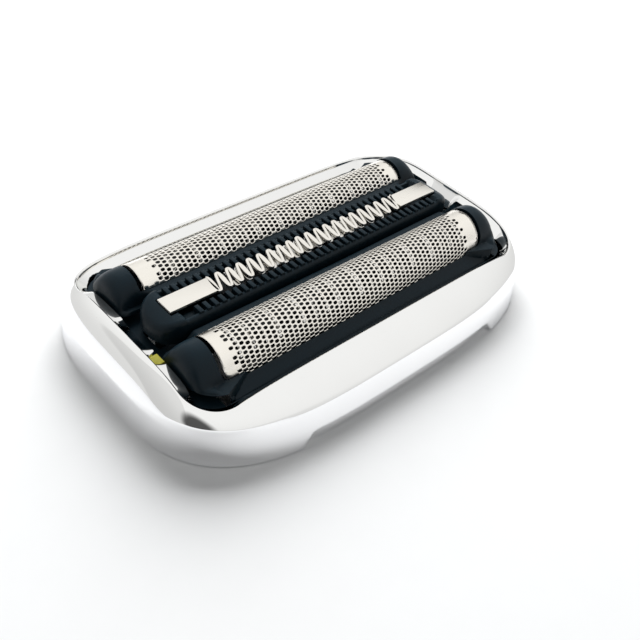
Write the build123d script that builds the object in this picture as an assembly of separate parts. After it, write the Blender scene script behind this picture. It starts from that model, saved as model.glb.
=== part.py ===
from build123d import *
import os
from math import copysign, cos, pi, radians, sin, sqrt, tan

# Shaver foil head in millimetres, +Z up, origin under its middle on the surface it rests on.
# X runs along the foils and the front is at -Y. The rear half is modelled and turned for the front.

# Chromed outer frame
frame_length = 60.9
frame_width = 40.4
frame_wall = 1.6
crease_height = 4.58
skirt_draft_ends = 0.5
skirt_draft_sides = 1.67
foot_squareness = 3.34
crease_squareness = 3.83
rim_squareness = 6.0
dome_rise = 4.02
dome_inset_ends = 3.65
dome_inset_sides = 9.05
dome_shares = (0, 0.14, 0.34, 0.62, 1)
cavity_share = 0.3
outline_points = 28
rim_band_ends = 3.65
rim_band_sides = 6.0
opening_corner = 4.5
lip_wall = 1.0
tongue_reach = 1.9
tongue_width = 6.2
tongue_rise = 2.4
notch_length = 33.2
notch_height = 1.7
notch_depth = 0.8
notch_end_slope = 1.5

# Cassette chassis inside the frame
plate_underside = 4.5
plate_thickness = 1.1
collar_foot = 0.8
collar_wall = 0.8
chassis_ledge = 0.45
chassis_corner = 8.0

# Travel of the sprung carriages and the clearances between pieces
float_travel = 1.0
float_margin = 0.2
side_clearance = 0.4
running_clearance = 0.2
blade_clearance = 0.1
fit_clearance = 0.15
seat_clearance = 0.03

# Foils and the frames that carry them
foil_pitch = 14.76
foil_radius = 3.0
foil_axis_height = 7.05
foil_leg_radius = 4.6
foil_leg_start = 40
foil_outer_angle = 88
foil_inner_angle = 60
foil_thickness = 0.2
foil_frame_end_clearance = 1.47
foil_frame_side_clearance = 1.45
foil_end_gap = 0.3
cap_length = 3.6
cap_steps = ((0.45, 3), (0.3, 16), (0.25, 45))
cap_corner = 3.0
flange_thickness = 0.7
rail_height = 1.2
rail_overlap = 0.3
rail_bevel = 0.4
riser_length = 1.0
inner_wall = 1.05
inner_corner = 1.0

# Oscillating cutters under the foils
blade_pitch = 1.85
blade_thickness = 0.35
blade_angle = 70
blade_sides = 6
carrier_end = 0.6
carrier_end_gap = 1.35
carrier_width = 4.6
carrier_thickness = 1.25
rib_width = 2.0
rib_height = 1.1
cutter_stroke = 1.0

# Drive sockets that take the pins of the shaver
hub_length = 5.0
hub_width = 3.4
hub_recess = 0.1
socket_radius = 1.2
socket_depth = 2.2

# Springs, their cups, and the hooks that keep the carriages in the chassis
spring_radius = 0.85
spring_wire = 0.25
spring_turns = 4
spring_sides = 6
cup_width = 3.0
cup_wall = 0.35
cup_depth = 2.4
cup_floor = 0.6
foil_cup_inset = 2.95
trimmer_cup_inset = 3.5
post_width = 0.7
post_length = 1.2
hook_thickness = 0.7
hook_width = 3.0
hook_nose = 0.7
hook_nose_height = 0.65
foil_hook_inset = 1.0
trimmer_hook_inset = 1.35

# Centre trimmer
guard_end_clearance = 2.5
guard_width = 6.6
guard_top = 9.75
guard_end_drop = 1.4
guard_end_slope = 2.0
guard_end_rounding = 1.2
guard_corner = 2.8
guard_bevel = 0.5
guard_slot_width = 3.2
guard_pocket_depth = 0.1
guard_ceiling = 0.75
tooth_pitch = 1.1
tooth_gap = 0.5
tooth_depth = 0.6
tooth_reach = 1.05
tooth_shift = 1.6
comb_thickness = 0.35
comb_end_margin = 2.3
comb_plate_length = 6.5
comb_plate_width = 2.6
wave_slot_pitch = 0.8
wave_slot_width = 0.38
wave_width = 3.0
wave_bend = 0.5
wave_slant = 17
moving_blade_end_gap = 1.1
moving_blade_width = 2.8
moving_blade_thickness = 0.3
moving_blade_spine = 0.8
moving_tooth_gap = 0.7
moving_tooth_pitch = 1.6
moving_pad_length = 1.8
drive_peg_width = 0.8
slider_overhang = 0.9
slider_width = 4.0
slider_stroke = 0.8
leaf_span = 16.0
leaf_width = 1.6
leaf_rise = 0.4
leaf_thickness = 0.12

# Latch tabs between the chassis and the ends of the frame
tab_width = 2.0
tab_thickness = 1.0
tab_height = 1.7
tab_offset = 4.6
tab_bevel = 0.4

# Heights and places worked out from the sizes above
foil_y = foil_pitch / 2
foil_place = Pos(0, foil_y, foil_axis_height)
opening_length = frame_length - 2 * rim_band_ends
opening_width = frame_width - 2 * rim_band_sides
half_foot_x = frame_length / 2
half_foot_y = frame_width / 2
half_crease_x = half_foot_x - skirt_draft_ends
half_crease_y = half_foot_y - skirt_draft_sides
plate_top = plate_underside + plate_thickness
carriage_underside = plate_top + float_travel + float_margin
hub_underside = plate_underside + hub_recess
leg_shift = foil_radius - foil_leg_radius
leg_centre = (leg_shift * sin(radians(foil_leg_start)), leg_shift * cos(radians(foil_leg_start)))
foil_edge_y = foil_y + leg_centre[0] + foil_leg_radius * sin(radians(foil_outer_angle))
foil_edge_height = foil_axis_height + leg_centre[1] + foil_leg_radius * cos(radians(foil_outer_angle))
blade_radius = foil_radius - foil_thickness - running_clearance
carrier_top = foil_axis_height + blade_radius * cos(radians(blade_angle))
carrier_underside = carrier_top - carrier_thickness
foil_frame_length = opening_length - 2 * foil_frame_end_clearance
bed_length = foil_frame_length - 2 * cap_length
foil_length = bed_length - 2 * foil_end_gap
carrier_length = bed_length - 2 * (cutter_stroke + carrier_end_gap)
guard_length = opening_length - 2 * guard_end_clearance
comb_length = guard_length - 2 * comb_end_margin
wave_span = comb_length - 2 * comb_plate_length
moving_blade_length = wave_span - 2 * (slider_stroke + moving_blade_end_gap)
slider_length = moving_blade_length + 2 * slider_overhang
foil_frame_outer = opening_width / 2 - foil_frame_side_clearance
rail_face = foil_edge_y + seat_clearance
rail_top = foil_edge_height + rail_overlap
foil_frame_inner = guard_width / 2 + side_clearance
spring_seat = plate_top - cup_depth
foil_cup_x = foil_frame_length / 2 - foil_cup_inset
trimmer_cup_x = guard_length / 2 - trimmer_cup_inset
foil_hook_x = foil_frame_length / 2 - foil_hook_inset
trimmer_hook_x = guard_length / 2 - trimmer_hook_inset
comb_underside = guard_top - guard_pocket_depth
moving_blade_top = comb_underside - blade_clearance
moving_blade_underside = moving_blade_top - moving_blade_thickness
slider_top = moving_blade_underside - leaf_rise
slider_underside = carriage_underside + running_clearance
carriages = (
    (-foil_y, foil_cup_x, foil_hook_x),
    (0, trimmer_cup_x, trimmer_hook_x),
    (foil_y, foil_cup_x, foil_hook_x),
)


def block(x, y, z, size_x, size_y, size_z):
    # A box centred at x and y that stands on the height z
    return Pos(x, y, z + size_z / 2) * Box(size_x, size_y, size_z)


def oval(half_x, half_y, squareness):
    points = []
    for i in range(outline_points):
        turn = 2 * pi * i / outline_points
        x = half_x * copysign(abs(cos(turn)) ** (2 / squareness), cos(turn))
        y = half_y * copysign(abs(sin(turn)) ** (2 / squareness), sin(turn))
        points.append((x, y))
    return make_face(Spline(*points, periodic=True))


def skirt_section(share, inset):
    half_x = half_foot_x - skirt_draft_ends * share - inset
    half_y = half_foot_y - skirt_draft_sides * share - inset
    squareness = foot_squareness + (crease_squareness - foot_squareness) * share
    return Pos(0, 0, crease_height * share) * oval(half_x, half_y, squareness)


def dome_section(share, inset):
    half_x = half_crease_x - dome_inset_ends * share - inset
    half_y = half_crease_y - dome_inset_sides * share - inset
    squareness = crease_squareness + (rim_squareness - crease_squareness) * sqrt(share)
    height = crease_height + dome_rise * (1 - (1 - share) ** 2)
    return Pos(0, 0, height) * oval(half_x, half_y, squareness)


def frame_form(inset, shares):
    # The flared skirt below the crease and the shoulder above it
    skirt = loft([skirt_section(0, inset), skirt_section(1, inset)], ruled=True)
    shoulder = loft([dome_section(share, inset) for share in shares], ruled=True)
    return skirt + shoulder


def opening_prism(grow, bottom):
    outline = RectangleRounded(opening_length + 2 * grow, opening_width + 2 * grow, opening_corner + grow)
    return Pos(0, 0, bottom) * extrude(outline, 2 * (crease_height + dome_rise))


def end_tongue():
    # The chromed slope that falls inwards from the end of the rim towards the trimmer
    face_x = opening_length / 2
    foot = plate_top + seat_clearance
    side_view = Polygon(
        (face_x - tongue_reach, foot),
        (face_x + lip_wall / 2, foot),
        (face_x + lip_wall / 2, foot + tongue_rise),
        (face_x, foot + tongue_rise),
        (face_x - tongue_reach, foot + seat_clearance),
        align=None,
    )
    return extrude(Plane.XZ * side_view, tongue_width / 2, both=True)


def outer_frame():
    outside = frame_form(0, dome_shares)
    cavity = frame_form(frame_wall, (0, cavity_share))
    lip = opening_prism(lip_wall, plate_top) & outside
    body = outside - cavity + lip - opening_prism(0, -crease_height)
    notch_face = Polygon(
        (-notch_length / 2, 0),
        (notch_length / 2, 0),
        (notch_length / 2 - notch_end_slope, notch_height),
        (notch_end_slope - notch_length / 2, notch_height),
        align=None,
    )
    thumb_notch = extrude(Plane.XZ * notch_face, frame_width, both=True)
    inner_skirt = loft([skirt_section(0, notch_depth), skirt_section(1, notch_depth)], ruled=True)
    tongue = end_tongue()
    return body - (thumb_notch - inner_skirt) + tongue + mirror(tongue, Plane.YZ)


def rail_room(row):
    # The long slot that a foil's outer edge and its rail dip into
    near = foil_edge_y - foil_thickness - side_clearance
    far = foil_frame_outer + running_clearance
    length = bed_length + 2 * (riser_length + running_clearance)
    middle = copysign((near + far) / 2, row)
    return block(0, middle, plate_underside, length, far - near, plate_thickness)


def cassette_chassis():
    length = opening_length + 2 * chassis_ledge
    width = opening_width + 2 * chassis_ledge
    outline = RectangleRounded(length, width, chassis_corner)
    bore = offset(outline, -collar_wall)
    body = Pos(0, 0, collar_foot) * extrude(outline, plate_top - collar_foot)
    body -= Pos(0, 0, collar_foot) * extrude(bore, plate_underside - collar_foot)
    window_length = carrier_length + 2 * (cutter_stroke + running_clearance)
    hub_window = hub_length + 2 * (slider_stroke + running_clearance)
    cup_room = cup_width - 2 * cup_wall
    for row, cup_x, hook_x in carriages:
        for side in (-1, 1):
            cup_height = cup_depth + cup_floor
            body += block(side * cup_x, row, plate_top - cup_height, cup_width, cup_width, cup_height)
    for row, cup_x, hook_x in carriages:
        room_x = hub_window if row == 0 else window_length
        room_y = hub_width if row == 0 else carrier_width
        body -= block(0, row, plate_underside, room_x, room_y + 2 * running_clearance, plate_thickness)
        body -= rail_room(row)
        for side in (-1, 1):
            body -= block(side * cup_x, row, spring_seat, cup_room, cup_room, cup_depth)
            slot_x = side * (hook_x + hook_thickness / 2)
            slot_y = hook_width + 2 * running_clearance
            slot_length = hook_thickness + 2 * running_clearance
            body -= block(slot_x, row, plate_underside, slot_length, slot_y, plate_thickness)
    return body


def carriage_fittings(row, cup_x, hook_x):
    # Spring posts and the hooks that reach under the chassis plate
    nose_bottom = plate_underside - fit_clearance - hook_nose_height
    leg_height = carriage_underside - nose_bottom
    fittings = Part()
    for side in (-1, 1):
        post_foot = carriage_underside - post_length
        fittings += block(side * cup_x, row, post_foot, post_width, post_width, post_length)
        leg_x = side * (hook_x + hook_thickness / 2)
        fittings += block(leg_x, row, nose_bottom, hook_thickness, hook_width, leg_height)
        nose_x = side * (hook_x + hook_thickness + hook_nose / 2)
        fittings += block(nose_x, row, nose_bottom, hook_nose, hook_width, hook_nose_height)
    return fittings


def foil_arch(inset):
    # The outer leg and the crown of the arch, as two arcs that meet tangentially
    leg_sweep = foil_outer_angle - foil_leg_start
    crown_sweep = foil_leg_start + foil_inner_angle
    leg = CenterArc(leg_centre, foil_leg_radius - inset, 90 - foil_outer_angle, leg_sweep)
    crown = CenterArc((0, 0), foil_radius - inset, 90 - foil_leg_start, crown_sweep)
    return leg, crown


def end_cap():
    # The arch carried on past the foil and rounded over to a nose in tapering steps
    leg, crown = foil_arch(0)
    base = -foil_axis_height
    foot = Polyline(crown @ 1, ((crown @ 1).X, base), ((leg @ 0).X, base), leg @ 0)
    face = foil_place * Pos(bed_length / 2, 0, 0) * (Plane.YZ * make_face([leg, crown, *foot.edges()]))
    cap = Part()
    for share, taper in cap_steps:
        step = extrude(face, share * cap_length, taper=taper)
        cap += step
        face = step.faces().sort_by(Axis.X)[-1]
    return split(cap, Plane.XY.offset(carriage_underside), keep=Keep.TOP)


def foil_frame():
    width = foil_frame_outer - foil_frame_inner
    middle = (foil_frame_outer + foil_frame_inner) / 2
    plan = Pos(0, middle) * Rectangle(foil_frame_length, width)
    plan = fillet(plan.vertices().sort_by(Axis.Y)[-2:], cap_corner)
    plan = fillet(plan.vertices().sort_by(Axis.Y)[:2], inner_corner)
    body = Pos(0, 0, carriage_underside) * extrude(plan, flange_thickness)
    body -= block(0, middle, carriage_underside, bed_length, 2 * width, flange_thickness)
    wall_height = foil_axis_height + foil_radius * cos(radians(foil_inner_angle)) - carriage_underside
    wall_y = foil_frame_inner + inner_wall / 2
    body += block(0, wall_y, carriage_underside, bed_length, inner_wall, wall_height)
    rail_width = foil_frame_outer - rail_face
    rail_y = (foil_frame_outer + rail_face) / 2
    rail_foot = rail_top - rail_height
    rail = block(0, rail_y, rail_foot, bed_length, rail_width, rail_height)
    rail = chamfer(rail.edges().filter_by(Axis.X).sort_by(Axis.Y)[-2:].sort_by(Axis.Z)[-1], rail_bevel)
    riser_height = carriage_underside + flange_thickness - rail_foot
    cap = end_cap()
    for side in (-1, 1):
        riser_x = side * (bed_length + riser_length) / 2
        rail += block(riser_x, rail_y, rail_foot, riser_length, rail_width, riser_height)
    return body + rail + cap + mirror(cap, Plane.YZ) + carriage_fittings(*carriages[2])


def foil():
    leg, crown = foil_arch(0)
    inner_leg, inner_crown = foil_arch(foil_thickness)
    ends = [Line(crown @ 1, inner_crown @ 1), Line(inner_leg @ 0, leg @ 0)]
    section = make_face([leg, crown, inner_crown, inner_leg, *ends])
    return foil_place * extrude(Plane.YZ * section, foil_length / 2, both=True)


def drive_hub(row, top):
    return block(0, row, hub_underside, hub_length, hub_width, top - hub_underside)


def drive_socket(row):
    return Pos(0, row, hub_underside + socket_depth / 2) * Cylinder(socket_radius, socket_depth)


def cutter_carrier():
    body = block(0, foil_y, carrier_underside, carrier_length, carrier_width, carrier_thickness)
    body += block(0, foil_y, carrier_top, carrier_length, rib_width, rib_height)
    body += drive_hub(foil_y, carrier_underside)
    return body - drive_socket(foil_y)


def cutter_blades():
    # Arched blades that straddle the rib of the carrier
    arch = []
    for i in range(blade_sides + 1):
        turn = radians(blade_angle * (1 - 2 * i / blade_sides))
        arch.append((blade_radius * sin(turn), blade_radius * cos(turn)))
    profile = Polygon(*arch, align=None)
    profile -= Pos(0, carrier_top - foil_axis_height + rib_height / 2) * Rectangle(rib_width, rib_height)
    blade = foil_place * extrude(Plane.YZ * profile, blade_thickness / 2, both=True)
    last = int((carrier_length - 2 * carrier_end - blade_thickness) / blade_pitch)
    return Compound([Pos((i - last / 2) * blade_pitch, 0, 0) * blade for i in range(last + 1)])


def coil_spring(x, y):
    # Square wire wound in short straight runs from the cup's floor to the carriage
    rise = carriage_underside - spring_seat - spring_wire - 2 * seat_clearance
    runs = spring_turns * spring_sides
    points = []
    for i in range(runs + 1):
        turn = 2 * pi * i / spring_sides
        points.append((spring_radius * cos(turn), spring_radius * sin(turn), rise * i / runs))
    path = Polyline(*points)
    section = Plane(origin=path @ 0, x_dir=(1, 0, 0), z_dir=path % 0) * Rectangle(spring_wire, spring_wire)
    coil = sweep(section, path, transition=Transition.RIGHT)
    return Pos(x, y, spring_seat + seat_clearance + spring_wire / 2) * coil


def trimmer_guard():
    height = guard_top - carriage_underside
    body = Pos(0, 0, carriage_underside) * extrude(
        RectangleRounded(guard_length, guard_width, guard_corner), height
    )
    body = chamfer(body.faces().sort_by(Axis.Z)[-1].edges(), guard_bevel)
    half = guard_length / 2
    side_view = Polygon(
        (-half, carriage_underside),
        (half, carriage_underside),
        (half, guard_top - guard_end_drop),
        (half - guard_end_slope, guard_top),
        (guard_end_slope - half, guard_top),
        (-half, guard_top - guard_end_drop),
        align=None,
    )
    side_view = fillet(side_view.vertices().group_by(Axis.Y)[-1], guard_end_rounding)
    body &= extrude(Plane.XZ * side_view, guard_width, both=True)
    body -= block(0, 0, carriage_underside, wave_span, guard_slot_width, height)
    room_length = slider_length + 2 * (slider_stroke + running_clearance)
    room_width = slider_width + 2 * running_clearance
    body -= block(0, 0, carriage_underside, room_length, room_width, height - guard_ceiling)
    pocket_width = wave_width + 2 * seat_clearance
    pocket_length = comb_length + 2 * seat_clearance
    body -= block(0, 0, comb_underside, pocket_length, pocket_width, guard_pocket_depth)
    tooth_count = int((comb_length - 2 * tooth_shift) / tooth_pitch)
    for side in (-1, 1):
        gap_y = side * (guard_slot_width + tooth_reach) / 2
        for i in range(tooth_count):
            gap_x = (i - (tooth_count - 1) / 2) * tooth_pitch - side * tooth_shift
            body -= block(gap_x, gap_y, guard_top - tooth_depth, tooth_gap, tooth_reach, tooth_depth)
    return body + carriage_fittings(*carriages[1])


def trimmer_comb():
    # A pressed strip that meanders from end plate to end plate round slanted slots,
    # which are open at the front and at the rear by turns
    outline = Rectangle(wave_span, wave_width)
    lean = wave_width * tan(radians(wave_slant))
    slot_count = int((wave_span - lean) / wave_slot_pitch)
    for i in range(slot_count):
        side = 1 if i % 2 else -1
        slot_x = (i - (slot_count - 1) / 2) * wave_slot_pitch
        slot = Pos(0, side * (wave_width / 2 + wave_bend)) * Rectangle(wave_slot_width, 2 * wave_width)
        outline -= Pos(slot_x, 0) * Rot(0, 0, -wave_slant) * slot
    for side in (-1, 1):
        plate_x = side * (comb_length - comb_plate_length) / 2
        outline += Pos(plate_x, 0) * Rectangle(comb_plate_length, comb_plate_width)
    return Pos(0, 0, comb_underside) * extrude(outline, comb_thickness)


def trimmer_blade():
    outline = Rectangle(moving_blade_length, moving_blade_width)
    toothed = moving_blade_length - 2 * moving_pad_length
    tooth_count = int(toothed / moving_tooth_pitch)
    gap_depth = (moving_blade_width - moving_blade_spine) / 2
    for side in (-1, 1):
        gap_y = side * (moving_blade_width - gap_depth) / 2
        for i in range(tooth_count):
            gap_x = (i - (tooth_count - 1) / 2) * moving_tooth_pitch
            outline -= Pos(gap_x, gap_y) * Rectangle(moving_tooth_gap, gap_depth)
        peg_room = drive_peg_width + 2 * seat_clearance
        outline -= Pos(side * peg_x(), 0) * Rectangle(peg_room, peg_room)
    return Pos(0, 0, moving_blade_underside) * extrude(outline, moving_blade_thickness)


def peg_x():
    return (moving_blade_length - moving_pad_length) / 2


def trimmer_slider():
    body = block(0, 0, slider_underside, slider_length, slider_width, slider_top - slider_underside)
    body += drive_hub(0, slider_underside)
    peg_height = moving_blade_top - slider_top
    for side in (-1, 1):
        body += block(side * peg_x(), 0, slider_top, drive_peg_width, drive_peg_width, peg_height)
    return body - drive_socket(0)


def trimmer_leaf():
    # A bowed strip that presses the moving blade up against the comb
    crown = leaf_rise - leaf_thickness - seat_clearance
    lower = ThreePointArc((-leaf_span / 2, 0), (0, crown), (leaf_span / 2, 0))
    upper = Pos(0, leaf_thickness) * lower
    section = make_face([lower, Line(lower @ 1, upper @ 1), upper, Line(upper @ 0, lower @ 0)])
    return Pos(0, 0, slider_top) * extrude(Plane.XZ * section, leaf_width / 2, both=True)


def lock_tab():
    tab_x = opening_length / 2 - seat_clearance - tab_thickness / 2
    tab = block(tab_x, tab_offset, plate_top, tab_thickness, tab_width, tab_height)
    return chamfer(tab.faces().sort_by(Axis.Z)[-1].edges().filter_by(Axis.X), tab_bevel)


half_turn = Rot(0, 0, 180)
pieces = {
    "outer_frame": outer_frame(),
    "cassette_chassis": cassette_chassis(),
    "trimmer_guard": trimmer_guard(),
    "trimmer_comb": trimmer_comb(),
    "trimmer_blade": trimmer_blade(),
    "trimmer_slider": trimmer_slider(),
    "trimmer_leaf_spring": trimmer_leaf(),
}
pieces["right_lock_tab"] = lock_tab()
pieces["left_lock_tab"] = half_turn * pieces["right_lock_tab"]
for name, maker in (
    ("foil_frame", foil_frame),
    ("foil", foil),
    ("cutter_carrier", cutter_carrier),
    ("cutter_blades", cutter_blades),
):
    pieces[f"rear_{name}"] = maker()
    pieces[f"front_{name}"] = half_turn * pieces[f"rear_{name}"]
for place, (row, cup_x, hook_x) in zip(("front", "trimmer", "rear"), carriages):
    pieces[f"{place}_left_spring"] = coil_spring(-cup_x, row)
    pieces[f"{place}_right_spring"] = coil_spring(cup_x, row)

os.makedirs("parts", exist_ok=True)
for name, piece in pieces.items():
    export_step(piece, f"parts/{name}.step")
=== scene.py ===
import bpy
from math import asin, atan2, ceil, copysign, cos, hypot, pi, radians, sin, sqrt
from mathutils import Matrix, Vector


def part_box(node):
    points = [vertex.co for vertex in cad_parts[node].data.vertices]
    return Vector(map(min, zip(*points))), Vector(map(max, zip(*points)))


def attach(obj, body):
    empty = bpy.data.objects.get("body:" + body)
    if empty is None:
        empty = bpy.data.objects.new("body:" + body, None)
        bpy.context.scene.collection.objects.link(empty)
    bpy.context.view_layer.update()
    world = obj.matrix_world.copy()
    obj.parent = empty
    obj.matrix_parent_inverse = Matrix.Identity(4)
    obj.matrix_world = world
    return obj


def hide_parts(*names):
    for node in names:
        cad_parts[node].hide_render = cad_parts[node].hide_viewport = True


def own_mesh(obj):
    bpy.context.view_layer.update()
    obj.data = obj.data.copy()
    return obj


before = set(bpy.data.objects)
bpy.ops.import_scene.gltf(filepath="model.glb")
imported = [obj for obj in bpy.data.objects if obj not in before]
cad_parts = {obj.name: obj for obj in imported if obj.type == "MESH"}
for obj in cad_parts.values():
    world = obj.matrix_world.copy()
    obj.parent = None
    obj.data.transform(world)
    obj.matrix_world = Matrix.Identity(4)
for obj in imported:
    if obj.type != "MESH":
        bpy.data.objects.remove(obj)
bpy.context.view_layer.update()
scene = bpy.context.scene
millimetre = 0.001


def clamp(value, low=0.0, high=1.0):
    return max(low, min(high, value))


def smoothStep(low, high, value):
    share = clamp((value - low) / (high - low))
    return share * share * (3 - 2 * share)


def smoothMax(first, second, reach):
    share = clamp(0.5 + 0.5 * (first - second) / reach)
    return second + (first - second) * share + reach * share * (1 - share)


def mix(first, second, share):
    return first + (second - first) * share


def nodeBox(node):
    low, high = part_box(node)
    return [value / millimetre for value in low], [value / millimetre for value in high]


def addPiece(name, points, faces, material, body, slot, nodes, sharpAngle=35):
    mesh = bpy.data.meshes.new(name)
    mesh.from_pydata([tuple(value * millimetre for value in point) for point in points], [], faces)
    mesh.polygons.foreach_set("use_smooth", [True] * len(mesh.polygons))
    mesh.set_sharp_from_angle(angle=radians(sharpAngle))
    mesh.materials.append(material)
    piece = bpy.data.objects.new(name, mesh)
    scene.collection.objects.link(piece)
    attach(piece, body)
    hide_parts(*nodes)
    return piece


def ringFaces(ringCount, columnCount, closed=True):
    faces = []
    for ring in range(ringCount if closed else ringCount - 1):
        near = ring * columnCount
        far = (ring + 1) % ringCount * columnCount
        for column in range(columnCount):
            after = (column + 1) % columnCount
            faces.append((near + column, near + after, far + after, far + column))
    return faces


def roundedOutline(low, high, corners, count):
    # Evenly spaced points with outward normals, corners counted from right front anticlockwise
    (left, front), (right, back) = low, high
    turns = [(right, front, 1, -1, -90), (right, back, 1, 1, 0),
             (left, back, -1, 1, 90), (left, front, -1, -1, 180)]
    path = []
    for (x, y, signX, signY, start), corner in zip(turns, corners):
        middle = (x - signX * corner, y - signY * corner)
        steps = max(2, ceil(count * corner / 150))  # finer corners on a finer outline
        for step in range(steps + 1):
            angle = radians(start + 90 * step / steps)
            outX, outY = cos(angle), sin(angle)
            path.append((middle[0] + corner * outX, middle[1] + corner * outY, outX, outY))
    path.append(path[0])
    lengths = [hypot(b[0] - a[0], b[1] - a[1]) for a, b in zip(path, path[1:])]
    total = sum(lengths)
    points = []
    index, passed = 0, 0.0
    for step in range(count):
        target = total * step / count
        while passed + lengths[index] < target:
            passed += lengths[index]
            index += 1
        share = (target - passed) / max(lengths[index], 1e-9)
        x, y, normalX, normalY = (mix(a, b, share) for a, b in zip(path[index], path[index + 1]))
        size = hypot(normalX, normalY)
        points.append((x, y, normalX / size, normalY / size))
    return points


def roundedBlock(low, high, rounding):
    points, faces = [], []
    top, shoulder = high[2], rounding * 0.3
    for z, inset in ((low[2], 0), (top - rounding, 0), (top - shoulder, shoulder), (top, rounding)):
        points += [(low[0] + inset, low[1] + inset, z), (high[0] - inset, low[1] + inset, z),
                   (high[0] - inset, high[1] - inset, z), (low[0] + inset, high[1] - inset, z)]
    for ring in range(3):
        for column in range(4):
            after = (column + 1) % 4
            faces.append((ring * 4 + column, ring * 4 + after, ring * 4 + 4 + after, ring * 4 + 4 + column))
    faces.append((12, 13, 14, 15))
    return points, faces


def joined(parts):
    points, faces = [], []
    for partPoints, partFaces in parts:
        start = len(points)
        points += partPoints
        faces += [tuple(index + start for index in face) for face in partFaces]
    return points, faces


def halfTurn(points):
    return [(-x, -y, z) for x, y, z in points]


# Materials
def addNode(tree, kind, **values):
    node = tree.nodes.new(kind)
    for name, value in values.items():
        setattr(node, name, value)
    return node


def grainGroup():
    group = bpy.data.node_groups.new("surfaceGrain", "ShaderNodeTree")
    for name, kind, value in (("Scale", "NodeSocketFloat", 1.0), ("Stretch", "NodeSocketVector", (1, 1, 1)),
                              ("Low", "NodeSocketFloat", 0.2), ("High", "NodeSocketFloat", 0.4),
                              ("Bump", "NodeSocketFloat", 0.1)):
        group.interface.new_socket(name, in_out="INPUT", socket_type=kind).default_value = value
    for name, kind in (("Roughness", "NodeSocketFloat"), ("Mask", "NodeSocketFloat"),
                       ("Normal", "NodeSocketVector")):
        group.interface.new_socket(name, in_out="OUTPUT", socket_type=kind)
    link = group.links.new
    inputs = addNode(group, "NodeGroupInput").outputs
    outputs = addNode(group, "NodeGroupOutput").inputs
    place = addNode(group, "ShaderNodeTexCoord")
    stretch = addNode(group, "ShaderNodeVectorMath", operation="MULTIPLY")
    noise = addNode(group, "ShaderNodeTexNoise")
    noise.inputs["Detail"].default_value = 4
    spread = addNode(group, "ShaderNodeMapRange")
    spread.inputs["From Min"].default_value = 0.3
    spread.inputs["From Max"].default_value = 0.7
    bump = addNode(group, "ShaderNodeBump")
    bump.inputs["Distance"].default_value = 0.00003
    link(place.outputs["Object"], stretch.inputs[0])
    link(inputs["Stretch"], stretch.inputs[1])
    link(stretch.outputs[0], noise.inputs["Vector"])
    link(inputs["Scale"], noise.inputs["Scale"])
    link(noise.outputs["Fac"], spread.inputs["Value"])
    link(inputs["Low"], spread.inputs["To Min"])
    link(inputs["High"], spread.inputs["To Max"])
    link(noise.outputs["Fac"], bump.inputs["Height"])
    link(inputs["Bump"], bump.inputs["Strength"])
    link(spread.outputs[0], outputs["Roughness"])
    link(noise.outputs["Fac"], outputs["Mask"])
    link(bump.outputs[0], outputs["Normal"])
    return group


surfaceGrain = grainGroup()


def grainMaterial(name, dark, light, metallic, scale, stretch, rough, bump, specular=0.5):
    material = bpy.data.materials.new(name)
    material.use_nodes = True
    tree = material.node_tree
    shader = tree.nodes["Principled BSDF"]
    grain = addNode(tree, "ShaderNodeGroup", node_tree=surfaceGrain)
    grain.inputs["Scale"].default_value = scale
    grain.inputs["Stretch"].default_value = stretch
    grain.inputs["Low"].default_value, grain.inputs["High"].default_value = rough
    grain.inputs["Bump"].default_value = bump
    tint = addNode(tree, "ShaderNodeMix", data_type="RGBA")
    tint.inputs["A"].default_value = (*dark, 1)
    tint.inputs["B"].default_value = (*light, 1)
    tree.links.new(grain.outputs["Mask"], tint.inputs["Factor"])
    tree.links.new(tint.outputs["Result"], shader.inputs["Base Color"])
    tree.links.new(grain.outputs["Roughness"], shader.inputs["Roughness"])
    tree.links.new(grain.outputs["Normal"], shader.inputs["Normal"])
    shader.inputs["Metallic"].default_value = metallic
    shader.inputs["Specular IOR Level"].default_value = specular
    return material


chrome = grainMaterial("chrome", (0.86, 0.86, 0.845), (0.90, 0.90, 0.885), 1.0, 160, (1, 1, 1),
                       (0.03, 0.06), 0.02)
blackPlastic = grainMaterial("blackPlastic", (0.004, 0.011, 0.016), (0.006, 0.015, 0.022), 0.0, 2600,
                             (1, 1, 1), (0.34, 0.46), 0.2, specular=0.16)
cutterPlastic = grainMaterial("cutterPlastic", (0.010, 0.012, 0.014), (0.02, 0.022, 0.024), 0.0, 1800,
                              (1, 1, 1), (0.4, 0.6), 0.2, specular=0.3)
foilSteel = grainMaterial("foilSteel", (0.88, 0.84, 0.76), (0.98, 0.95, 0.88), 1.0, 900, (0.2, 1, 1),
                          (0.22, 0.36), 0.1)
combSteel = grainMaterial("combSteel", (0.84, 0.81, 0.74), (0.97, 0.94, 0.88), 1.0, 700, (0.15, 1, 1),
                          (0.22, 0.38), 0.1)
bladeSteel = grainMaterial("bladeSteel", (0.72, 0.71, 0.68), (0.88, 0.87, 0.84), 1.0, 900, (1, 0.2, 1),
                           (0.18, 0.32), 0.1)
springSteel = grainMaterial("springSteel", (0.55, 0.55, 0.55), (0.68, 0.68, 0.68), 1.0, 900, (1, 1, 1),
                            (0.2, 0.35), 0.05)
tabPlastic = grainMaterial("tabPlastic", (0.27, 0.25, 0.02), (0.34, 0.32, 0.03), 0.0, 900, (1, 1, 1),
                           (0.3, 0.4), 0.1)

plainFinishes = {
    "cassette_chassis": blackPlastic, "right_lock_tab": tabPlastic,
    "trimmer_slider": cutterPlastic, "trimmer_leaf_spring": springSteel,
}
for side in ("front", "rear"):
    plainFinishes[f"{side}_cutter_carrier"] = cutterPlastic
    plainFinishes[f"{side}_cutter_blades"] = bladeSteel
for node, material in plainFinishes.items():
    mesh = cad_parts[node].data
    mesh.materials.clear()
    mesh.materials.append(material)
print("materials done")


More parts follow.
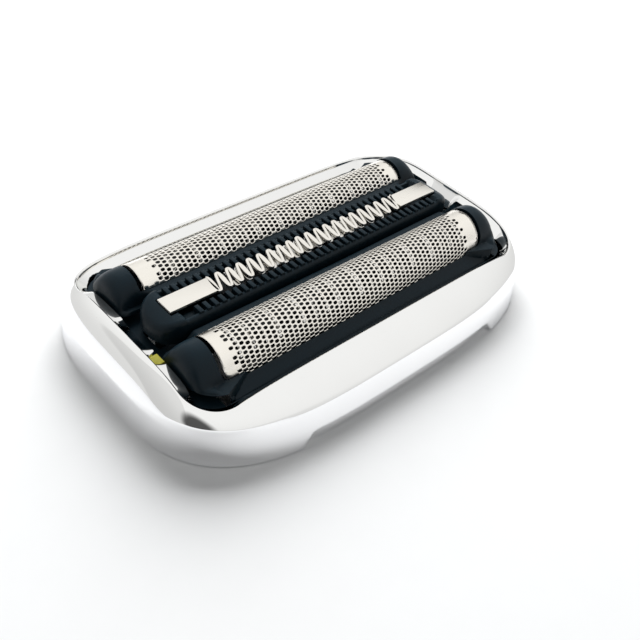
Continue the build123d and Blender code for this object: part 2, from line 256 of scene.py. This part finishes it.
# Chromed outer frame
shell = {
    "columns": 720, "footSquareness": 3.34, "creaseSquareness": 3.83, "rimSquareness": 6.0,
    "creaseHeight": 4.58, "draftEnds": 0.5, "draftSides": 1.67, "rise": 4.02,
    "insetEnds": 3.65, "insetSides": 9.05, "halfFootX": 30.45, "halfFootY": 20.2,
    "bandEnds": 3.65, "bandSides": 6.0, "corner": 4.5, "wall": 1.6, "lipWall": 1.0, "lipFoot": 5.6,
    "rimRound": 0.3, "creaseRound": 0.22, "footRound": 0.25, "creaseShare": 0.06,
    "creaseRows": 6, "domeRows": 30, "rimRows": 6, "wallRows": 6,
    "bevelReach": 1.15, "tongueReach": 1.9, "tongueHalf": 2.4, "tongueFoot": 5.8,
    "tongueBlend": 0.6, "shelfHalf": 9.0, "shelfFall": 0.3, "shelfBlend": 2.5,
    "tabGap": (-5.5, -3.7), "tabBlend": 0.3, "gapReach": 0.1, "gapFall": 0.2,
    "notchHalf": 16.6, "notchHeight": 1.7, "notchDepth": 0.8, "notchSlope": 1.5, "notchFromY": 8,
    "notchEnd": (0.35, 0.15), "notchEdge": (0.12, 0.08),
    "skirtHeights": (0, 0.06, 0.15, 0.25, 0.6, 1.0, 1.3, 1.5, 1.58, 1.64, 1.70, 1.76, 1.82, 2.0, 2.5,
                     3.0, 3.5, 3.9),
}
halfFootX = shell["halfFootX"]
halfFootY = shell["halfFootY"]
halfOpenX = halfFootX - shell["bandEnds"]
halfOpenY = halfFootY - shell["bandSides"]


def ovalPoint(angle, halfX, halfY, squareness):
    size = (abs(cos(angle)) ** squareness + abs(sin(angle)) ** squareness) ** (-1 / squareness)
    return halfX * cos(angle) * size, halfY * sin(angle) * size


def skirtPoint(angle, share, inset=0.0):
    halfX = halfFootX - shell["draftEnds"] * share - inset
    halfY = halfFootY - shell["draftSides"] * share - inset
    squareness = mix(shell["footSquareness"], shell["creaseSquareness"], share)
    return (*ovalPoint(angle, halfX, halfY, squareness), shell["creaseHeight"] * share)


def domeHeight(x, y):
    low, high = 0.0, 1.0
    for step in range(26):
        share = (low + high) / 2
        halfX = halfFootX - shell["draftEnds"] - shell["insetEnds"] * share
        halfY = halfFootY - shell["draftSides"] - shell["insetSides"] * share
        squareness = mix(shell["creaseSquareness"], shell["rimSquareness"], sqrt(share))
        if abs(x / halfX) ** squareness + abs(y / halfY) ** squareness < 1:
            low = share
        else:
            high = share
    return shell["creaseHeight"] + shell["rise"] * (1 - (1 - low) ** 2)


def notchInset(x, z):
    reach = shell["notchHalf"] - shell["notchSlope"] * z / shell["notchHeight"]
    inner, outer = shell["notchEnd"]
    along = smoothStep(reach + outer, reach - inner, abs(x))
    below, over = shell["notchEdge"]
    above = 1 - smoothStep(shell["notchHeight"] - below, shell["notchHeight"] + over, z)
    return shell["notchDepth"] * along * above


def innerEdge(x, y, edge):
    # Reach and lower height of the lip inside the rim: a bevel, at the ends a shelf with a tongue
    if abs(x) < halfOpenX - shell["corner"] / 3:
        return shell["bevelReach"], edge - shell["bevelReach"]
    blend = shell["tongueBlend"]
    tongue = 1 - smoothStep(shell["tongueHalf"] - blend, shell["tongueHalf"] + blend, abs(y))
    shelf = 1 - smoothStep(shell["shelfHalf"], shell["shelfHalf"] + shell["shelfBlend"], abs(y))
    height = mix(edge - shell["bevelReach"], edge - shell["shelfFall"], shelf)
    low, high = shell["tabGap"]
    gap = 0.0
    if x < 0:
        blend = shell["tabBlend"]
        gap = smoothStep(low - blend, low + blend, y) * (1 - smoothStep(high - blend, high + blend, y))
    reach = mix(shell["bevelReach"], shell["tongueReach"], tongue)
    height = mix(height, shell["tongueFoot"], tongue)
    return mix(reach, shell["gapReach"], gap), mix(height, edge - shell["gapFall"], gap)


def frameRings():
    columns = roundedOutline((-halfOpenX, -halfOpenY), (halfOpenX, halfOpenY), [shell["corner"]] * 4,
                             shell["columns"])
    profiles = []
    for x, y, normalX, normalY in columns:
        angle = atan2(y / halfOpenY, x / halfOpenX)
        profile = []
        for z in shell["skirtHeights"]:
            px, py, pz = skirtPoint(angle, z / shell["creaseHeight"])
            tuck = shell["footRound"] * (1 - sqrt(1 - (1 - min(z / shell["footRound"], 1)) ** 2))
            inset = notchInset(px, z) + tuck
            profile.append((px, py - copysign(inset, py) if abs(py) > shell["notchFromY"] else py, pz))
        below = Vector(skirtPoint(angle, 1 - shell["creaseRound"] / shell["creaseHeight"]))
        crease = Vector(skirtPoint(angle, 1.0))
        rim = Vector((x + normalX * shell["rimRound"], y + normalY * shell["rimRound"], 0))
        start = mix(crease, rim, shell["creaseShare"])
        start.z = domeHeight(start.x, start.y)
        for step in range(shell["creaseRows"] + 1):
            share = step / shell["creaseRows"]
            profile.append(tuple(mix(mix(below, crease, share), mix(crease, start, share), share)))
        for step in range(1, shell["domeRows"] + 1):
            point = mix(crease, rim, mix(shell["creaseShare"], 1, step / shell["domeRows"]))
            profile.append((point.x, point.y, domeHeight(point.x, point.y)))
        top = profile[-1][2]
        for step in range(1, shell["rimRows"] + 1):
            turn = radians(90 * step / shell["rimRows"])
            out = shell["rimRound"] * (1 - sin(turn))
            drop = shell["rimRound"] * (1 - cos(turn))
            profile.append((x + normalX * out, y + normalY * out, top - drop))
        edge = top - shell["rimRound"]
        reach, low = innerEdge(x, y, edge)
        for step in range(1, shell["wallRows"] + 1):
            share = step / shell["wallRows"]
            inward = reach * share
            profile.append((x - normalX * inward, y - normalY * inward, mix(edge, low, share)))
        profile.append((x - normalX * reach, y - normalY * reach, shell["lipFoot"]))
        profile.append((x + normalX * shell["lipWall"], y + normalY * shell["lipWall"], shell["lipFoot"]))
        profile.append(skirtPoint(angle, 0.98, shell["wall"]))
        profile.append(skirtPoint(angle, 0.5, shell["wall"]))
        profile.append(skirtPoint(angle, 0.0, shell["wall"]))
        profiles.append(profile)
    rings = len(profiles[0])
    return [profile[ring] for ring in range(rings) for profile in profiles], rings


framePoints, frameRingCount = frameRings()
addPiece("outer_frame_shell", framePoints, ringFaces(frameRingCount, shell["columns"]), chrome, "frame",
         "chrome_frame", ["outer_frame"], sharpAngle=50)
tab = {"low": (-26.75, -5.4, 5.6), "high": (-25.5, -3.8, 7.75), "rounding": 0.2}
tabPoints, tabFaces = roundedBlock(tab["low"], tab["high"], tab["rounding"])
addPiece("left_lock_tab_block", tabPoints, tabFaces, tabPlastic, "frame", "tab_plastic", ["left_lock_tab"])
print("outer frame done")


# Perforated foils
arch = {
    "crownRadius": 3.0, "crownY": 7.38, "crownHeight": 7.05,
    "legRadius": 4.6, "legY": 6.352, "legHeight": 5.824,
    "innerAngle": 60, "legStart": 40, "outerAngle": 88,
}
crownLength = arch["crownRadius"] * radians(arch["innerAngle"] + arch["legStart"])
legLength = arch["legRadius"] * radians(arch["outerAngle"] - arch["legStart"])
sheetForm = {
    "thickness": 0.09, "columnPitch": 0.72, "rows": 16,
    "holeX": 0.285, "holeArc": 0.215, "holeSquareness": 2.5,
    "margins": (3, 2), "cornerRound": 2.2, "cornerSpan": 5.0,
}
foilHalf = nodeBox("rear_foil")[1][0]


def archPoint(arc, lift=0.0):
    # Place across the head of a point so far along the arch from its inner edge
    if arc < crownLength:
        angle = arc / arch["crownRadius"] - radians(arch["innerAngle"])
        reach = arch["crownRadius"] + lift
        return arch["crownY"] + reach * sin(angle), arch["crownHeight"] + reach * cos(angle)
    angle = (arc - crownLength) / arch["legRadius"] + radians(arch["legStart"])
    reach = arch["legRadius"] + lift
    return arch["legY"] + reach * sin(angle), arch["legHeight"] + reach * cos(angle)


def archHeight(y):
    if y < arch["crownY"] + arch["crownRadius"] * sin(radians(arch["legStart"])):
        return arch["crownHeight"] + sqrt(max(arch["crownRadius"] ** 2 - (y - arch["crownY"]) ** 2, 0))
    return arch["legHeight"] + sqrt(max(arch["legRadius"] ** 2 - (y - arch["legY"]) ** 2, 0))


def cornered(x, arc, half):
    # Draws the ends in along the lower edge, so that its corners are round
    radius, span = sheetForm["cornerRound"], sheetForm["cornerSpan"]
    left = clamp(crownLength + legLength - arc, 0, radius)
    limit = half - radius + sqrt(radius ** 2 - (radius - left) ** 2)
    beyond = abs(x) - (half - span)
    if beyond <= 0:
        return x
    return copysign(half - span + beyond * (limit - half + span) / span, x)


def foilSheet():
    columns = round(2 * foilHalf / sheetForm["columnPitch"])
    pitchX = 2 * foilHalf / columns
    pitchArc = (crownLength + legLength) / sheetForm["rows"]
    points, faces, known = [], [], {}

    def vertex(x, arc):
        key = (round(x, 4), round(arc, 4))
        if key not in known:
            known[key] = len(points)
            points.append((cornered(x, arc, foilHalf), *archPoint(arc)))
        return known[key]

    for column in range(columns):
        left = -foilHalf + column * pitchX
        middle = left + pitchX / 2
        shift = 0.5 * (column % 2)
        for row in range(sheetForm["rows"] + (column % 2)):
            low = max(0, row - shift) * pitchArc
            high = min(sheetForm["rows"], row + 1 - shift) * pitchArc
            outer = []
            for a, b in (((0, 0), (1, 0)), ((1, 0), (1, 1)), ((1, 1), (0, 1)), ((0, 1), (0, 0))):
                steps = 4 if a[0] == b[0] else 2
                for step in range(steps):
                    share = step / steps
                    outer.append((left + pitchX * mix(a[0], b[0], share),
                                  mix(low, high, mix(a[1], b[1], share))))
            ragged = (row * 7 + 3) % 5 // 3  # plain margins end in small steps
            leftMargin, rightMargin = sheetForm["margins"]
            solid = column < leftMargin + ragged or column >= columns - rightMargin - ragged
            solid = solid or high - low < 0.9 * pitchArc  # the half cells at the edges
            ring = [vertex(*point) for point in outer]
            if solid:
                faces.append(ring)
                continue
            centre = (low + high) / 2
            hole = []
            for x, arc in outer:
                angle = atan2((arc - centre) / pitchArc, (x - middle) / pitchX)
                holeX, holeArc = ovalPoint(angle, sheetForm["holeX"], sheetForm["holeArc"],
                                           sheetForm["holeSquareness"])
                hole.append(vertex(middle + holeX, centre + holeArc))
            for index in range(len(ring)):
                after = (index + 1) % len(ring)
                faces.append((ring[index], ring[after], hole[after], hole[index]))
    return points, faces


foilPoints, foilFaces = foilSheet()
for side, points in (("rear", foilPoints), ("front", halfTurn(foilPoints))):
    sheet = addPiece(f"{side}_foil_sheet", points, foilFaces, foilSteel, f"{side}_foil_carriage",
                     "foil_steel", [f"{side}_foil"], sharpAngle=60)
    solidify = sheet.modifiers.new("thickness", "SOLIDIFY")
    solidify.thickness = sheetForm["thickness"] * millimetre
    solidify.offset = -1
print("foils done")


# Foil frames
cradle = {
    "columns": 720, "railTop": 6.3, "railFall": 0.95, "railFoot": 5.1, "endTop": 6.98, "endFoot": 6.78,
    "riseStart": 21.9, "riseEnd": 23.6, "outerRound": 0.55, "outerCorner": 4.1, "innerCorner": 1.2,
    "capLift": 0.1, "capPower": 3.4, "blend": 0.8, "wallTop": 8.5, "wallWidth": 0.6,
    "wallBlend": (1.5, 0.6), "bedGap": 0.55, "bedSlack": 0.04, "bedStep": 0.5, "bedDrop": 0.3,
    "railReach": 1.5, "footBlend": 0.5, "leastHeight": 0.1,
    "halfLength": 25.33, "front": 3.7, "back": 12.75,
    "shares": (0, 0.012, 0.03, 0.055, 0.085, 0.12, 0.16, 0.21, 0.26, 0.32, 0.38, 0.45, 0.52, 0.6, 0.68,
               0.76, 0.84, 0.91, 0.96, 1),
}
cradleHalf = cradle["halfLength"]
cradleFront, cradleBack = cradle["front"], cradle["back"]
bedHalf = foilHalf + cradle["bedGap"]
bedFront = archPoint(0)[0]
bedBack = archPoint(crownLength + legLength)[0] + cradle["bedSlack"]


def cradleEnd(y):
    # Where the rounded plan of a foil frame ends at this distance from the middle
    corner = cradle["outerCorner"] if y > (cradleFront + cradleBack) / 2 else cradle["innerCorner"]
    side = cradleBack - y if y > (cradleFront + cradleBack) / 2 else y - cradleFront
    inset = clamp(corner - side, 0, corner)
    return cradleHalf - corner + sqrt(corner ** 2 - inset ** 2)


def cradleHeight(x, y, depth):
    edge = clamp(depth, 0, cradle["outerRound"])
    drop = cradle["outerRound"] - sqrt(cradle["outerRound"] ** 2 - (cradle["outerRound"] - edge) ** 2)
    ends = smoothStep(cradle["riseStart"], cradle["riseEnd"], abs(x))
    fall = cradle["railFall"] * clamp((y - bedBack) / cradle["railReach"])
    base = mix(cradle["railTop"] - fall, cradle["endTop"], ends)
    form = max(archHeight(y) + cradle["capLift"], base)
    if y < bedFront + cradle["wallWidth"]:
        inner, outer = cradle["wallBlend"]
        form = mix(cradle["wallTop"], form, smoothStep(bedHalf - inner, bedHalf + outer, abs(x)))
    along = clamp((abs(x) - bedHalf) / max(cradleEnd(y) - bedHalf, 0.01))
    swell = (1 - along ** cradle["capPower"]) ** 0.5
    if abs(x) < bedHalf - cradle["bedStep"] and y > bedFront:
        return base - drop
    raised = base + (form - base) * swell
    return smoothMax(raised, base, cradle["blend"]) - drop


def cradleRings():
    inner, outside = cradle["innerCorner"], cradle["outerCorner"]
    outline = roundedOutline((-cradleHalf, cradleFront), (cradleHalf, cradleBack),
                             [inner, outside, outside, inner], cradle["columns"])
    middle = (cradleFront + cradleBack) / 2
    bedMiddle = (bedFront + bedBack) / 2
    profiles = []
    for x, y in (column[:2] for column in outline):
        across, along = x / cradleHalf, (y - middle) / (cradleBack - middle)
        size = 1 / max(abs(across), abs(along))
        bedY = bedMiddle + (bedBack - bedMiddle) * along * size
        arcLeft = 0.0
        if bedY > arch["legY"]:
            lean = min((bedY - arch["legY"]) / arch["legRadius"], sin(radians(arch["outerAngle"])))
            arcLeft = arch["legRadius"] * (radians(arch["outerAngle"]) - asin(lean))
        bedX = cornered(bedHalf * across * size, crownLength + legLength - arcLeft, bedHalf)
        bed = Vector((bedX if bedY > arch["legY"] else bedHalf * across * size, bedY))
        outer = Vector((x, y))
        ends = smoothStep(cradle["riseStart"], cradle["riseStart"] + cradle["footBlend"], abs(x))
        foot = cradle["endFoot"] if y < middle else mix(cradle["railFoot"], cradle["endFoot"], ends)
        profile = [(x, y, foot)]
        for share in cradle["shares"]:
            point = mix(outer, bed, share)
            height = cradleHeight(point.x, point.y, share * (outer - bed).length)
            profile.append((point.x, point.y, max(height, foot + cradle["leastHeight"])))
        bedFoot = min(profile[-1][2] - cradle["bedDrop"], max(foot, cradle["railFoot"]))
        profile.append((bed.x, bed.y, bedFoot))
        profiles.append(profile)
    rings = len(profiles[0])
    return [profile[ring] for ring in range(rings) for profile in profiles], rings


cradlePoints, cradleRingCount = cradleRings()
for side, points in (("rear", cradlePoints), ("front", halfTurn(cradlePoints))):
    addPiece(f"{side}_foil_cradle", points, ringFaces(cradleRingCount, cradle["columns"]), blackPlastic,
             f"{side}_foil_carriage", "black_plastic", [f"{side}_foil_frame"])
print("foil frames done")


# Centre trimmer guard
guard = {
    "columns": 520, "corner": 2.8, "top": 9.75, "edgeRound": 0.7, "endDrop": 1.4, "endSlope": 2.8,
    "halfLength": 24.3, "underside": 6.8, "slotFoot": 7.2, "slotHalf": 1.6, "slotGap": 0.02,
    "pocketHalfLength": 22.1, "railInner": 2.55, "railDrop": 0.3, "ribFloor": 9.0, "ribSpan": 21.0,
    "ribPitch": 1.08, "ribWidth": 0.6, "ribRound": 0.16, "ribShift": 0.6, "ribReach": 2.95,
    "ribRoot": 0.1, "spanBlend": 0.1, "railBlend": 0.04,
    "shares": (0, 0.04, 0.09, 0.15, 0.22, 0.29, 0.33, 0.36, 0.5, 0.7, 0.9, 1),
}
guardHalf = guard["halfLength"]
guardWidth = nodeBox("trimmer_guard")[1][1]


def guardHeight(x, y, depth):
    rounding = guard["edgeRound"]
    edge = clamp(depth, 0, rounding)
    height = guard["top"] - rounding + sqrt(rounding ** 2 - (rounding - edge) ** 2)
    away = clamp((guard["endSlope"] - (guardHalf - abs(x))) / guard["endSlope"])
    height -= guard["endDrop"] * away * away
    blend = guard["spanBlend"]
    inside = 1 - smoothStep(guard["ribSpan"] - blend, guard["ribSpan"] + blend, abs(x))
    height -= guard["railDrop"] * inside
    blend = guard["railBlend"]
    inside *= 1 - smoothStep(guard["railInner"] - blend, guard["railInner"] + blend, abs(y))
    return mix(height, min(height, guard["ribFloor"]), inside)


def guardRings():
    outline = roundedOutline((-guardHalf, -guardWidth), (guardHalf, guardWidth), [guard["corner"]] * 4,
                             guard["columns"])
    profiles = []
    for x, y in (column[:2] for column in outline):
        across, along = x / guardHalf, y / guardWidth
        size = 1 / max(abs(across), abs(along))
        slot = Vector((guard["pocketHalfLength"] * across * size, guard["slotHalf"] * along * size))
        outer = Vector((x, y))
        profile = [(x, y, guard["underside"])]
        for share in guard["shares"]:
            point = mix(outer, slot, share)
            depth = share * (outer - slot).length
            profile.append((point.x, point.y, guardHeight(point.x, point.y, depth)))
        profile.append((slot.x, slot.y, guard["slotFoot"]))
        profiles.append(profile)
    rings = len(profiles[0])
    return [profile[ring] for ring in range(rings) for profile in profiles], rings


guardPoints, guardRingCount = guardRings()
guardParts = [(guardPoints, ringFaces(guardRingCount, guard["columns"]))]
ribCount = int(2 * guard["ribSpan"] / guard["ribPitch"]) - 1
for side in (-1, 1):
    for rib in range(ribCount):
        x = (rib - (ribCount - 1) / 2) * guard["ribPitch"] - side * guard["ribShift"]
        near, far = sorted((side * (guard["slotHalf"] + guard["slotGap"]), side * guard["ribReach"]))
        half, foot = guard["ribWidth"] / 2, guard["ribFloor"] - guard["ribRoot"]
        guardParts.append(roundedBlock((x - half, near, foot), (x + half, far, guard["top"]),
                                       guard["ribRound"]))
addPiece("trimmer_guard_body", *joined(guardParts), blackPlastic, "trimmer_carriage", "black_plastic",
         ["trimmer_guard"], sharpAngle=40)
print("trimmer guard done")


# Trimmer comb and the moving blade below it
comb = {
    "period": 1.56, "halfReach": 1.5, "lean": 0.25, "widths": (0.6, 0.36), "bendWidth": 0.36,
    "roundness": 0.13, "steps": 14, "top": 10.0, "thickness": 0.35, "bevel": 0.05,
    "plateInner": 15.2, "plateOuter": 22.0, "plateHalf": 1.3, "plateLap": 0.4,
}
blade = {
    "period": 1.86, "halfReach": 1.4, "lean": 0.3, "widths": (0.44, 0.4), "bendWidth": 0.34,
    "roundness": 0.13, "steps": 14, "top": 9.5, "thickness": 0.25, "bevel": 0.04, "halfLength": 13.6,
}


def wave(form, halfLength):
    # Strip along a leaning cosine: thick strokes one way, thin ones back, narrow bends between
    strokes = 2 * int(2 * halfLength / form["period"])
    reach = form["halfReach"] - form["bendWidth"] / 2
    steps, bend = form["steps"], form["roundness"]
    line = []
    for index in range(strokes * steps + 1):
        turn = index / steps / 2
        y = reach * ((1 + bend) * cos(2 * pi * turn) - bend * cos(6 * pi * turn))
        line.append(((turn - strokes / 4) * form["period"] + form["lean"] * y, y))
    points = []
    for index, (x, y) in enumerate(line):
        before, after = line[max(index - 1, 0)], line[min(index + 1, len(line) - 1)]
        alongX, alongY = after[0] - before[0], after[1] - before[1]
        size = hypot(alongX, alongY)
        normalX, normalY = -alongY / size, alongX / size
        half = mix(form["bendWidth"], form["widths"][index // steps % 2], clamp(1 - (y / reach) ** 2)) / 2
        top, bevel = form["top"], form["bevel"]
        low = top - form["thickness"]
        for shift, z in ((-half, low), (-half, top - bevel), (-half + bevel, top),
                         (half - bevel, top), (half, top - bevel), (half, low)):
            points.append((x + normalX * shift, y + normalY * shift, z))
    faces = []
    for index in range(len(line) - 1):
        for corner in range(6):
            after = (corner + 1) % 6
            near, far = index * 6, index * 6 + 6
            faces.append((near + corner, far + corner, far + after, near + after))
    faces.append(tuple(range(5, -1, -1)))
    faces.append(tuple(range(6 * len(line) - 6, 6 * len(line))))
    return points, faces


combParts = [wave(comb, comb["plateInner"] + comb["plateLap"])]
for side in (-1, 1):
    near, far = sorted((side * comb["plateInner"], side * comb["plateOuter"]))
    combParts.append(roundedBlock((near, -comb["plateHalf"], comb["top"] - comb["thickness"]),
                                  (far, comb["plateHalf"], comb["top"]), comb["bevel"]))
addPiece("trimmer_comb_strip", *joined(combParts), combSteel, "trimmer_carriage", "comb_steel",
         ["trimmer_comb"])
addPiece("trimmer_blade_strip", *wave(blade, blade["halfLength"]), bladeSteel, "trimmer_cutter",
         "blade_steel", ["trimmer_blade"])
print("trimmer comb done")


# Carriage springs
spring = {"wire": 0.25, "turns": 5, "closedTurns": 0.8, "steps": 28, "sides": 8, "travel": 1.0}


def coil(low, high):
    # Helix with closed ends that fills the box of the solid spring
    middle = [(a + b) / 2 for a, b in zip(low, high)]
    wire = spring["wire"] / 2
    radius = (high[1] - low[1]) / 2 - wire
    points = []
    count = spring["turns"] * spring["steps"]
    for index in range(count + 1):
        turn = index / spring["steps"]
        share = smoothStep(spring["closedTurns"], spring["turns"] - spring["closedTurns"], turn)
        z = mix(low[2] + wire, high[2] - wire, share)
        for side in range(spring["sides"]):
            angle = 2 * pi * side / spring["sides"]
            reach = radius + wire * cos(angle)
            points.append((middle[0] + reach * cos(2 * pi * turn), middle[1] + reach * sin(2 * pi * turn),
                           z + wire * sin(angle)))
    faces = [tuple(reversed(face)) for face in ringFaces(count + 1, spring["sides"], closed=False)]
    faces.append(tuple(range(spring["sides"])))
    faces.append(tuple(range(len(points) - 1, len(points) - 1 - spring["sides"], -1)))
    return points, faces


for joint in ("front_foil_float", "rear_foil_float", "trimmer_float"):
    for hand in ("left", "right"):
        node = f"{joint.split('_')[0]}_{hand}_spring"
        low, high = nodeBox(node)
        piece = addPiece(f"{node}_coil", *coil(low, high), springSteel, "frame", "spring_steel", [node])
        middleX, middleY = (low[0] + high[0]) / 2, (low[1] + high[1]) / 2
        foot = [middleX * millimetre, middleY * millimetre, low[2] * millimetre]
        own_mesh(piece)
print("springs done")


# Camera, floor and light
view = {"place": (-60.2064, -58.1872, 72.4844), "right": (0.73844, -0.6652, 0.1105),
        "down": (-0.39178, -0.55661, -0.73259), "forward": (0.54883, 0.49768, -0.67164), "lens": 46.44}
cameraData = bpy.data.cameras.new("camera")
cameraData.lens = view["lens"]
cameraData.sensor_width = 36
cameraData.clip_start = 0.001
camera = bpy.data.objects.new("camera", cameraData)
scene.collection.objects.link(camera)
upward = [-value for value in view["down"]]
backward = [-value for value in view["forward"]]
axes = Matrix((view["right"], upward, backward)).transposed()
camera.matrix_world = Matrix.Translation(Vector(view["place"]) * millimetre) @ axes.to_4x4()
scene.camera = camera

studio = {
    "floorSize": 0.44, "floorColour": (0.87, 0.88, 0.885), "floorGrain": 0.02,
    "skyDiffuse": 0.26, "skyColour": (1.0, 1.0, 1.0),
    "skyTop": 1.0, "skyHorizon": 0.8, "skyTopElevation": 0.75,
    # Floor colour that only reflections see, lighter than the floor itself: a painted brighter reflection
    # of the floor in the chrome and steel
    "lamp": (0.27, 0.36, 0.36), "lampSize": 0.5, "lampPower": 6.5, "paintedReflectionFloorColour": (0.96, 0.97, 1.0),
}
# Cards that only shiny surfaces see: direction, cosines of outer and inner edge, strength there
cards = (
    ((-0.78, -0.58, 0.34), 0.89, 0.965, 0.1),
    ((0.86, 0.49, 0.12), 0.965, 0.99, 0.12),
    ((-0.88, 0.20, 0.42), 0.868, 0.882, 0.82),
)
floorMesh = bpy.data.meshes.new("floor")
reach = studio["floorSize"] / 2
floorCorners = [(-reach, -reach, 0), (reach, -reach, 0), (reach, reach, 0), (-reach, reach, 0)]
floorMesh.from_pydata(floorCorners, [], [(0, 1, 2, 3)])
floor = bpy.data.objects.new("floor", floorMesh)
scene.collection.objects.link(floor)
floorLight = [min(1, value + studio["floorGrain"]) for value in studio["floorColour"]]
floorMaterial = grainMaterial("floorPaper", studio["floorColour"], floorLight, 0.0, 300, (1, 1, 1),
                              (0.9, 1.0), 0.0, specular=0.0)
floorTree = floorMaterial.node_tree
floorShader = floorTree.nodes["Principled BSDF"]
# Glossy rays get the lighter floor colour, so the chrome skirt shows a painted brighter reflection of the
# floor
paintedReflectionColour = addNode(floorTree, "ShaderNodeMix", data_type="RGBA")
paintedReflectionColour.inputs["B"].default_value = (*studio["paintedReflectionFloorColour"], 1)
floorPath = addNode(floorTree, "ShaderNodeLightPath")
floorTree.links.new(floorPath.outputs["Is Glossy Ray"], paintedReflectionColour.inputs["Factor"])
floorTree.links.new(floorShader.inputs["Base Color"].links[0].from_socket, paintedReflectionColour.inputs["A"])
floorTree.links.new(paintedReflectionColour.outputs["Result"], floorShader.inputs["Base Color"])
floorMesh.materials.append(floorMaterial)

world = bpy.data.worlds.new("studio")
scene.world = world
world.use_nodes = True
worldTree = world.node_tree
background = worldTree.nodes["Background"]
path = addNode(worldTree, "ShaderNodeLightPath")
direction = addNode(worldTree, "ShaderNodeTexCoord").outputs["Generated"]
height = addNode(worldTree, "ShaderNodeSeparateXYZ")
worldTree.links.new(direction, height.inputs[0])
fall = addNode(worldTree, "ShaderNodeMapRange", interpolation_type="SMOOTHSTEP")
fall.inputs["From Max"].default_value = studio["skyTopElevation"]
fall.inputs["To Min"].default_value = studio["skyHorizon"]
fall.inputs["To Max"].default_value = studio["skyTop"]
worldTree.links.new(height.outputs["Z"], fall.inputs["Value"])
shine = fall.outputs[0]
for place, outer, inner, strength in cards:
    facing = addNode(worldTree, "ShaderNodeVectorMath", operation="DOT_PRODUCT")
    facing.inputs[1].default_value = Vector(place).normalized()
    worldTree.links.new(direction, facing.inputs[0])
    shade = addNode(worldTree, "ShaderNodeMapRange", interpolation_type="SMOOTHSTEP")
    shade.inputs["From Min"].default_value = outer
    shade.inputs["From Max"].default_value = inner
    shade.inputs["To Min"].default_value = 1.0
    shade.inputs["To Max"].default_value = strength
    worldTree.links.new(facing.outputs["Value"], shade.inputs["Value"])
    dimmed = addNode(worldTree, "ShaderNodeMath", operation="MULTIPLY")
    worldTree.links.new(shine, dimmed.inputs[0])
    worldTree.links.new(shade.outputs[0], dimmed.inputs[1])
    shine = dimmed.outputs[0]
glossy = addNode(worldTree, "ShaderNodeMix", data_type="FLOAT")
glossy.inputs["A"].default_value = studio["skyDiffuse"]
worldTree.links.new(path.outputs["Is Glossy Ray"], glossy.inputs["Factor"])
worldTree.links.new(shine, glossy.inputs["B"])
level = addNode(worldTree, "ShaderNodeMix", data_type="FLOAT")
level.inputs["B"].default_value = 1.0
worldTree.links.new(path.outputs["Is Camera Ray"], level.inputs["Factor"])
worldTree.links.new(glossy.outputs["Result"], level.inputs["A"])
worldTree.links.new(level.outputs["Result"], background.inputs["Strength"])
background.inputs["Color"].default_value = (*studio["skyColour"], 1)


def areaLight(name, place, target, size, power):
    light = bpy.data.lights.new(name, "AREA")
    light.size = size
    light.energy = power
    lamp = bpy.data.objects.new(name, light)
    scene.collection.objects.link(lamp)
    lamp.location = place
    lamp.rotation_euler = (Vector(target) - Vector(place)).to_track_quat("-Z", "Y").to_euler()
    return lamp


window = areaLight("window", studio["lamp"], (0, 0, 0), studio["lampSize"], studio["lampPower"])
window.visible_glossy = False
scene.view_settings.view_transform = "Standard"
print("camera and light done")
